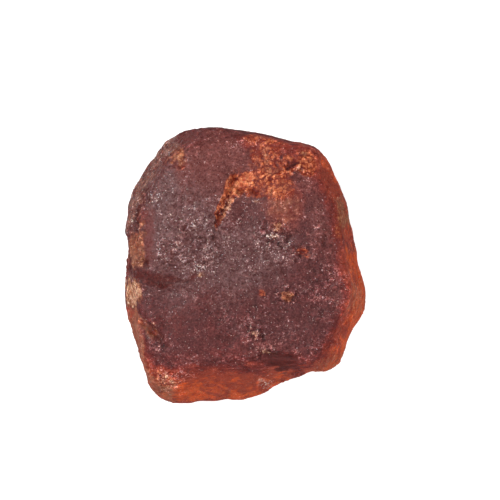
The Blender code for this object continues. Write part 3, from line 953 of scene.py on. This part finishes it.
@dataclass
class Painting:
    """Where each layer lies on the stone. Heights and depths are in millimetres.

    Attributes:
        rose, dusk, ember, buff, stain, clay, cream, glitter, shade: Where the layer of that name
            lies on the broad face.
        drift: What is spread over the sides and the underside.
        rim_height: Heights between which the areas fade out down the sides.
        dust_height: The same for what clings to the stone.
        top_height: Heights between which overhanging faces start to count as part of the broad face.
        overhang: Upward shares of the skin's direction between which a face stops hanging over.
        rim_wave: (size, height) of the waves in the line where the areas fade out.
        steep: Upward shares of the skin's direction between which a side becomes steep.
        wall_bend: How much more ragged the areas' edges are on the steep sides.
        sunk_shade: Depths between which sunk places on the hidden sides get painted shade.
        hollow: Depths below the surroundings between which a place becomes a hollow, which the
            finish darkens as painted shade.
        crest: Depths, which are heights here, between which it becomes a crest, which the finish
            lightens as a painted highlight.
    """

    rose: Areas = (
        Patch(-2.8, 7.8, 4.6, 3.2, 0.88), Patch(3.2, 4.7, 1.6, 1.9, 1.1), Patch(-6.3, 3.9, 2.4, 3.4, 0.45),
        Patch(6.9, 5.6, 2.0, 5.0, 0.6), Patch(7.6, -2.4, 0.8, 1.3, 0.55), Patch(4.6, 6.6, 1.0, 1.6, 0.7),
        Patch(6.6, 0.6, 2.8, 2.4, 0.12), Patch(3.2, 9.4, 1.2, 0.7, 0.9, 0.8, -15),
        Patch(1.6, -6.7, 2.2, 0.9, 0.3), Patch(0.8, 9.6, 2.6, 1.2, 0.8, 0.8, -10),
        Seam(LEFT_RIDGE, 0.7, 0.9, 0.4),
    )
    dusk: Areas = (
        Patch(-5.0, 2.2, 4.0, 5.0, 0.72), Patch(-0.8, 0.6, 4.4, 3.0, 0.7), Patch(-3.2, 2.9, 1.6, 1.6, 0.86),
        Patch(0.0, 4.6, 1.3, 1.5, 0.30, 0.5), Patch(-6.9, 6.3, 1.6, 2.6, 0.9, 0.8),
        # The patch at (1.6, -9.7) also makes the painted glints there whiter.
        Patch(1.6, -9.7, 0.8, 0.8), Patch(-9.0, -0.8, 0.7, 0.5, 0.9), Patch(-2.6, -2.4, 4.0, 1.2, 0.35),
        Patch(2.0, 2.0, 2.2, 1.2, 0.6), Seam(LEFT_BEVEL, 1.1, 0.9, 0.4),
    )
    # Painted glow: where the stone is thin and light comes through its edges.
    ember: Areas = (
        Seam(((8.9, 2.4), (9.6, -0.4), (10.1, -2.2), (9.5, -4.4), (8.8, -6.2)), 2.9, 1.12),
        Seam(((9.2, -5.0), (8.5, -7.0), (7.9, -8.3), (6.2, -9.0), (4.6, -9.3)), 3.2, 1.08, 0, 1.8),
        Seam(((4.8, -9.2), (2.6, -10.2), (0.2, -11.1), (-3.0, -11.3), (-6.0, -11.3)), 3.2, 0.92, 0.2),
        Seam(((-4.0, -11.2), (-6.6, -10.7), (-7.9, -9.8), (-8.6, -8.2)), 3.2, 0.75, 0.1, 1.8),
        Seam(((-8.2, -9.2), (-9.2, -6.4), (-9.9, -4.0), (-9.8, -3.3)), 1.7, 0.58, 0.1),
        Patch(-9.3, -4.6, 0.5, 1.2, 0.62, 0.9, 8), Seam(LEFT_RIDGE, 0.6, 0.18, 0.4),
        Patch(-3.0, -7.8, 4.6, 1.2, 0.16), Patch(7.6, -7.2, 1.2, 1.2, 0.85),
        Patch(6.2, -8.2, 1.4, 0.6, 0.55),
        Seam(((6.0, 9.9), (7.6, 7.2), (8.6, 4.6), (9.2, 1.4)), 2.7, 0.86, 0.1),
        Patch(-2.2, -10.2, 5.6, 1.7, 0.86), Patch(1.7, -9.3, 0.9, 0.5, 0.95, 0.8),
        Patch(-4.7, -10.3, 1.3, 0.8, 1.5), Patch(-5.6, -10.6, 1.7, 0.7, 1.25),
        Patch(0.6, -8.0, 0.9, 0.5, 0.5), Patch(-6.0, -9.3, 0.8, 0.3, 0.95, 0.9, -25),
        Patch(-3.2, -8.9, 4.6, 0.9, 0.4), Patch(5.0, 9.2, 1.6, 1.3, 0.5), Patch(-6.6, -8.8, 1.4, 0.7, 0.65),
        Patch(1.8, 10.0, 2.4, 0.9, 0.45, 0.8, -12), Patch(3.2, 4.8, 1.5, 1.9, 0.32),
    )
    buff: Areas = (
        Seam(LEFT_BEVEL, 1.3, 0.36, 0.4), Patch(-8.9, 1.4, 0.7, 1.4, 0.9, 0.8),
        Patch(8.1, 4.6, 0.6, 1.6, 0.75), Patch(-9.1, -6.0, 0.7, 2.2, 0.65, 0.9, 14),
        Patch(9.3, -2.6, 0.8, 1.6, 0.35), Patch(-9.4, -2.2, 0.9, 1.2, 0.9, 0.5),
        Patch(3.0, 4.7, 1.5, 1.8, 0.34), Patch(6.9, -8.2, 1.8, 0.8, 0.4, 0.9, 30),
        Seam(((-9.4, -3.5), (-8.6, -4.5), (-7.9, -5.2), (-7.2, -5.7)), 0.5, 0.8, 0.3),
        Seam(((-9.0, -7.6), (-8.4, -9.0), (-7.2, -10.2), (-5.6, -11.0)), 0.9, 0.6, 0.3),
    )
    stain: Areas = (
        Patch(1.8, 7.0, 1.9, 1.3, 0.74, 0.8, 25), Patch(2.6, 6.4, 1.3, 0.9, 0.68),
        Patch(1.6, 8.7, 1.3, 1.4, 0.5, 0.9, -20), Patch(3.4, 8.4, 0.9, 0.7, 0.55),
        Patch(4.8, 8.2, 0.8, 0.8, 0.66), Patch(4.8, 9.0, 0.8, 0.6, 0.5),
        Patch(1.0, 10.3, 2.0, 0.5, 0.34, 0.9, -12), Patch(-0.15, 6.9, 0.85, 0.8, 1.0, 0.5, 20),
        Patch(-0.5, 6.2, 0.55, 0.5, 0.95, 0.6), Patch(-0.8, 6.6, 0.5, 1.1, 0.95, 0.6, -30),
        Seam(((-0.9, 6.4), (-1.5, 5.2), (-1.95, 4.2), (-2.25, 3.4)), 0.50, 0.72, 0.4, 0.25),
        Seam(((-0.8, 7.8), (-1.3, 6.8), (-1.8, 5.6), (-2.2, 4.3), (-2.4, 3.0)), 0.50, 0.66, 0.4, 0.25),
        Patch(-8.8, 1.8, 0.65, 1.4, 0.26, 0.8), Patch(-8.5, 3.6, 0.3, 1.2, 0.2, 0.8),
        Patch(4.8, 1.15, 0.7, 0.45, 0.5, 0.9, -25), Patch(1.3, -2.3, 0.4, 0.3, 0.4),
        Patch(-5.4, 8.8, 0.7, 0.9, 0.28, 0.9, 20), Patch(8.1, 4.4, 0.5, 1.4, 0.7),
        Patch(7.8, 2.9, 0.35, 0.6, 0.5),
        Seam(((-9.2, -3.7), (-8.5, -4.6), (-7.9, -5.2), (-7.2, -5.6)), 0.4, 0.30, 0.2),
        Patch(-7.0, -9.2, 1.2, 0.5, 0.35, 0.9, -35),
    )
    clay: Areas = (
        Patch(-8.9, 1.2, 0.6, 1.4, 0.45, 0.8), Patch(-8.4, 2.7, 0.3, 1.1, 0.5, 0.8),
        Patch(3.4, -2.4, 0.6, 0.5, 1.0, 0.8), Patch(-9.4, -2.2, 0.8, 1.1, 0.95, 0.5),
        Patch(-7.5, -5.1, 0.5, 0.3, 0.4, 0.8, -40), Patch(-5.5, 9.0, 0.6, 0.8, 0.6, 0.9, 20),
        Patch(2.5, 3.2, 0.35, 0.3, 0.7, 0.8), Patch(-7.0, -9.5, 1.2, 0.5, 0.4, 0.9, -45),
        Seam(((-1.0, 5.8), (-1.5, 5.0), (-1.95, 4.0), (-2.1, 3.5)), 0.35, 0.6, 0.2),
        Patch(4.8, 9.2, 0.4, 0.3, 0.5), Patch(-0.5, 6.0, 0.5, 0.3, 0.55, 0.8),
        Patch(8.1, 4.4, 0.45, 1.3, 0.95), Patch(2.0, 6.0, 0.3, 0.3, 0.4), Patch(1.7, 8.9, 0.3, 0.9, 0.35),
        Patch(3.2, 6.6, 0.5, 0.5, 0.45), Patch(2.2, 7.9, 0.6, 0.4, 0.4),
    )
    # The small patches at (0.8, 5.3), (2.1, 2.45), (2.0, -7.05), (-6.2, -9.3) and (1.6, -9.8) are painted
    # glints as well as pale crumbs.
    cream: Areas = (
        Patch(-9.4, -2.2, 0.8, 1.1, 0.92, 0.6), Patch(-9.5, -1.6, 0.5, 0.45, 0.85),
        Patch(-9.3, -2.8, 0.6, 0.4, 0.85), Patch(-9.1, 0.4, 0.4, 0.5, 0.35),
        Patch(0.7, -5.4, 0.48, 0.40, 0.45), Patch(3.5, -2.3, 0.35, 0.25, 0.30, 0.8),
        Patch(-1.4, 4.9, 0.25, 0.35, 0.34), Patch(-3.6, -0.8, 0.3, 0.25, 0.5),
        Patch(0.8, 5.3, 0.4, 0.2, 0.7), Patch(2.1, 2.45, 0.4, 0.2, 0.7), Patch(4.5, 8.0, 0.3, 0.25, 0.45),
        Patch(-6.2, -9.3, 0.9, 0.35, 0.52, 0.9, -50), Patch(2.0, -7.05, 0.8, 0.22, 0.55, 0.9, -15),
        Patch(1.6, -9.8, 0.45, 0.4, 0.6),
    )
    # Where more painted glints crowd.
    glitter: Areas = (
        Patch(-6.4, 1.2, 1.3, 0.8, 0.15), Patch(-3.8, -0.2, 0.5, 0.3, 0.9, 0.8),
        Patch(1.2, 4.9, 0.5, 0.4, 0.5), Patch(0.8, 5.3, 0.45, 0.25, 1.0, 0.5),
        Patch(2.1, 2.5, 0.6, 0.3, 1.0, 0.5), Patch(-0.5, 3.7, 0.25, 0.2, 1.0, 0.5),
        Patch(1.6, 1.6, 0.8, 0.5, 0.4), Patch(5.8, 3.2, 0.25, 0.2, 0.9, 0.5),
        Patch(4.4, 7.9, 0.5, 0.5, 0.8, 0.5), Patch(-0.2, 10.0, 1.6, 0.5, 0.5),
        Patch(-6.4, -9.3, 1.3, 0.7, 1.0, 0.8, -35), Patch(-4.6, -9.0, 0.6, 0.3, 0.6),
        Patch(1.6, -9.75, 0.75, 0.6, 1.0, 0.8), Patch(1.8, -6.95, 1.4, 0.35, 0.45, 0.9, -12),
        Patch(6.6, -2.8, 1.6, 1.8, 0.15), Patch(5.5, -5.6, 2.0, 1.0, 0.12),
        Patch(0.2, -4.2, 3.4, 1.6, 0.14), Patch(0.0, 0.3, 4.0, 1.8, 0.12), Patch(6.8, -1.0, 1.8, 3.0, 0.15),
        Patch(-5.5, -9.0, 0.8, 0.5, 0.9), Patch(-7.2, 5.6, 0.6, 1.0, 0.25),
        Patch(-9.3, -1.2, 0.5, 0.4, 0.7), Seam(LEFT_BEVEL, 1.1, 0.15, 0.4), Patch(0.0, 4.5, 1.6, 1.6, 0.2),
    )
    shade: Areas = (
        Seam(((-0.55, 7.6), (-0.9, 6.8), (-1.35, 5.7), (-1.8, 4.5), (-2.2, 3.2)), 0.24, 0.3, 0.2),
        Seam(((-8.85, 5.1), (-8.95, 4.2), (-9.1, 3.0)), 0.30, 0.7, 0.3),
        Seam(((-9.0, -0.6), (-8.2, -0.9), (-7.2, -1.1), (-5.6, -1.3)), 1.05, 1.0, 0.38, 0.6),
        Seam(((-6.4, -1.2), (-5.0, -1.3), (-4.0, -0.9)), 0.5, 0.6, 0.2),
        Patch(-4.2, -0.85, 0.35, 0.2, 0.7, 0.8), Seam(((-5.8, 9.2), (-6.7, 8.2), (-7.6, 6.9)), 0.45, 0.45),
        Seam(((3.2, 7.9), (3.9, 8.2), (4.5, 8.6)), 0.20, 0.9, 0.2),
        Seam(((3.6, 7.4), (4.4, 7.3)), 0.28, 0.7, 0.2), Patch(3.0, -7.9, 1.2, 0.7, 0.8, 0.7),
        Patch(-0.1, 4.5, 1.2, 1.3, 0.30), Patch(-8.3, 0.3, 0.25, 0.3, 0.7, 0.5),
        Patch(7.4, -2.0, 0.35, 0.3, 0.5, 0.8), Patch(7.2, -3.3, 0.3, 0.25, 0.5, 0.8),
        Patch(-1.6, -5.7, 1.2, 0.4, 0.35), Patch(-6.1, -4.7, 1.6, 1.3, 0.32),
        Patch(-2.3, -3.8, 0.4, 0.2, 0.4), Seam(((6.9, 6.5), (7.0, 4.5), (6.9, 2.0)), 0.3, 0.35),
        Seam(((-8.9, -4.4), (-8.2, -5.4), (-7.2, -6.1)), 0.4, 0.5),
    )
    drift: dict[Layer, Drift] = field(
        default_factory=lambda: {
            Layer.ROSE: Drift(4.5, 31, -0.1, 0.6),
            Layer.DUSK: Drift(5.5, 32, -0.2, 0.5, 0.8),
            Layer.EMBER: Drift(6.0, 33, 0.15, 0.75),
            Layer.STAIN: Drift(2.6, 6, 0.4, 0.85, 0.9),
            Layer.CLAY: Drift(1.7, 34, 0.65, 1.0, 0.8, 2.0),
        }
    )
    rim_height: Span = (1.2, 3.4)
    dust_height: Span = (3.7, 5.0)
    top_height: Span = (5.8, 6.6)
    overhang: Span = (-0.3, 0.15)
    rim_wave: Span = (2.4, 0.9)
    steep: Span = (0.6, 0.1)
    wall_bend: float = 2.5
    sunk_shade: Span = (0.05, 0.16)
    hollow: Span = (0.0, 0.12)
    crest: Span = (-0.01, -0.07)

    def lay(self, skin: Skin, worn: np.ndarray) -> None:
        """Lays every layer on the skin.

        Args:
            skin: The skin with its relief.
            worn: Where the skin's points would be without its fine relief.
        """
        points, facing = skin.points, skin.normals()
        steep = smooth_step(facing[:, 2], *self.steep)[:, None]
        plan = points[:, :2] + waves(points, (21, 22), 3) * (1 + self.wall_bend * steep)
        size, rise = self.rim_wave
        height = points[:, 2] + rise * cloud(points, size, 23, 3)
        top = smooth_step(points[:, 2], *self.top_height)
        above = smooth_step(height, *self.rim_height)
        above *= np.maximum(smooth_step(facing[:, 2], *self.overhang), top)
        amounts = {layer: above * covered(getattr(self, layer.value), plan) for layer in PAINTED}
        for layer in (Layer.BUFF, Layer.STAIN, Layer.CLAY, Layer.CREAM):
            amounts[layer] *= smooth_step(height, *self.dust_height)
        sunk = ((worn - points) * facing).sum(axis=1)
        below = {layer: drift.cover(points, sunk) for layer, drift in self.drift.items()}
        # Painted shade in the sunk places of the hidden sides.
        below[Layer.SHADE] = 0.7 * smooth_step(sunk, *self.sunk_shade)
        for layer, amount in below.items():
            amounts[layer] = np.maximum(amounts[layer], (1 - above) * amount)
        # The finish paints hollows darker and crests lighter, as shade and highlight.
        amounts[Layer.HOLLOW] = smooth_step(sunk, *self.hollow)
        amounts[Layer.CREST] = smooth_step(sunk, *self.crest)
        for layer, amount in amounts.items():
            skin.keep(layer, amount)


@dataclass
class Stone:
    """The garnet: one crystal, broken and worn, lying on its flattest side.

    Attributes:
        spacing: Distance between the skin's points in millimetres.
        blend_rounds: Evening that hides the solid's own facets.
        worn_rounds: Evening that shows what stands out and what lies deep.
        relief: What is worked into the skin.
        painting: Where its layers lie.
        finish: Its material.
    """

    spacing: float = 0.127
    blend_rounds: int = 3
    worn_rounds: int = 14
    relief: Relief = field(default_factory=Relief)
    painting: Painting = field(default_factory=Painting)
    finish: FrostedGarnet = field(default_factory=FrostedGarnet)

    def build(self) -> bpy.types.Object:
        """Builds the stone in place of its solid.

        Returns:
            The finished piece.
        """
        low, high = (np.array(corner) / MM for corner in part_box(NODE))
        skin = Skin.over(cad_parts[NODE], self.spacing)
        skin.points = skin.smoothed(skin.points, self.blend_rounds)
        self.relief.work(skin)
        skin.points = np.clip(skin.points, low, high)
        self.painting.lay(skin, skin.smoothed(skin.points, self.worn_rounds))
        skin.store()
        skin.mesh.shade_smooth()
        skin.mesh.materials.append(self.finish.material())
        piece = place("garnet_crystal", skin.mesh)
        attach(piece, "root")
        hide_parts(NODE)
        return piece


# ---- the studio --------------------------------
@dataclass(frozen=True)
class Softbox:
    """A square soft light that looks at the stone.

    Attributes:
        name: What it is called.
        azimuth: Degrees from +X, anticlockwise seen from above.
        elevation: Degrees above the floor.
        distance: Metres from the stone.
        width: Metres across.
        power: Watts.
    """

    name: str
    azimuth: float
    elevation: float
    distance: float
    width: float
    power: float

    def light(self, aim: Vector) -> bpy.types.Object:
        """Hangs the light.

        Args:
            aim: The point that it looks at.

        Returns:
            The light's object.
        """
        turn, rise = math.radians(self.azimuth), math.radians(self.elevation)
        away = Vector((math.cos(turn) * math.cos(rise), math.sin(turn) * math.cos(rise), math.sin(rise)))
        lamp = bpy.data.lights.new(self.name, "AREA")
        lamp.energy = self.power
        lamp.size = self.width
        made = place(self.name, lamp)
        made.location = aim + away * self.distance
        made.rotation_euler = away.to_track_quat("Z", "Y").to_euler()
        made.visible_camera = False
        return made


@dataclass
class Studio:
    """A pale floor, soft light and a camera that looks straight down.

    Attributes:
        centre: Middle of the picture across the stone, in millimetres.
        view_width: Width of the picture at the height of the stone's rim, in millimetres.
        rim: Height of that rim.
        distance: From the rim to the camera, in millimetres.
        nearest: How near to the camera something is still seen, in millimetres.
        sensor: Width of the camera's sensor in millimetres.
        floor_width: Metres across the floor.
        floor_colour: Its colour.
        floor_glow: How strongly it shines, as a light table does.
        floor_gap: How far it lies below the stone, in metres, so that the two faces don't mix.
        sky: Strength of the even light from all round.
        boxes: The soft lights.
    """

    centre: Place = (0.375, 1.333)
    view_width: float = 41.67
    rim: float = 5.0
    distance: float = 250.0
    nearest: float = 10.0
    sensor: float = 36.0
    floor_width: float = 3.0
    floor_colour: Colour = (0.5, 0.5, 0.5)
    floor_glow: float = 0.8
    floor_gap: float = 0.00002
    sky: float = 0.12
    boxes: tuple[Softbox, ...] = (
        Softbox("key", 150, 48, 0.6, 0.18, 3.0),
        Softbox("fill", 20, 45, 0.7, 0.30, 1.9),
        Softbox("back", 280, 42, 0.7, 0.30, 2.1),
        Softbox("side", 195, 35, 0.7, 0.30, 1.0),
    )

    def build(self) -> None:
        """Sets up the camera, the floor and the light."""
        camera = bpy.data.cameras.new("camera")
        camera.sensor_width = self.sensor
        camera.lens = self.sensor * self.distance / self.view_width
        camera.clip_start = self.nearest * MM
        held = place("camera", camera)
        held.location = (self.centre[0] * MM, self.centre[1] * MM, (self.rim + self.distance) * MM)
        bpy.context.scene.camera = held
        bpy.context.scene.view_settings.view_transform = "Standard"
        self.floor()
        for box in self.boxes:
            box.light(Vector((0, 0, self.rim * MM)))
        world = bpy.data.worlds.new("sky")
        world.use_nodes = True
        even = world.node_tree.nodes["Background"].inputs
        even["Color"].default_value = (1, 1, 1, 1)
        even["Strength"].default_value = self.sky
        bpy.context.scene.world = world

    def floor(self) -> None:
        """Lays the floor, which the stone's sides don't mirror."""
        reach = self.floor_width / 2
        corners = [(-reach, -reach, 0), (reach, -reach, 0), (reach, reach, 0), (-reach, reach, 0)]
        mesh = bpy.data.meshes.new("floor")
        mesh.from_pydata(corners, [], [(0, 1, 2, 3)])
        inputs = {
            "Base Color": self.floor_colour,
            "Roughness": 0.9,
            "Specular IOR Level": 0.0,
            "Emission Color": (1.0, 1.0, 1.0),
            "Emission Strength": self.floor_glow,
        }
        mesh.materials.append(Shading("pale_floor").dress(inputs))
        made = place("floor", mesh)
        made.location.z = -self.floor_gap
        made.visible_glossy = False


def main() -> None:
    """Builds the stone and its studio."""
    logging.basicConfig(level=logging.INFO, format="%(name)s: %(message)s")
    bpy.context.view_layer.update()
    stone = Stone().build()
    log.info("%s: %d points, %d faces", stone.name, len(stone.data.vertices), len(stone.data.polygons))
    Studio().build()
    log.info("studio: camera, floor and light")


if __name__ == "__main__":
    main()
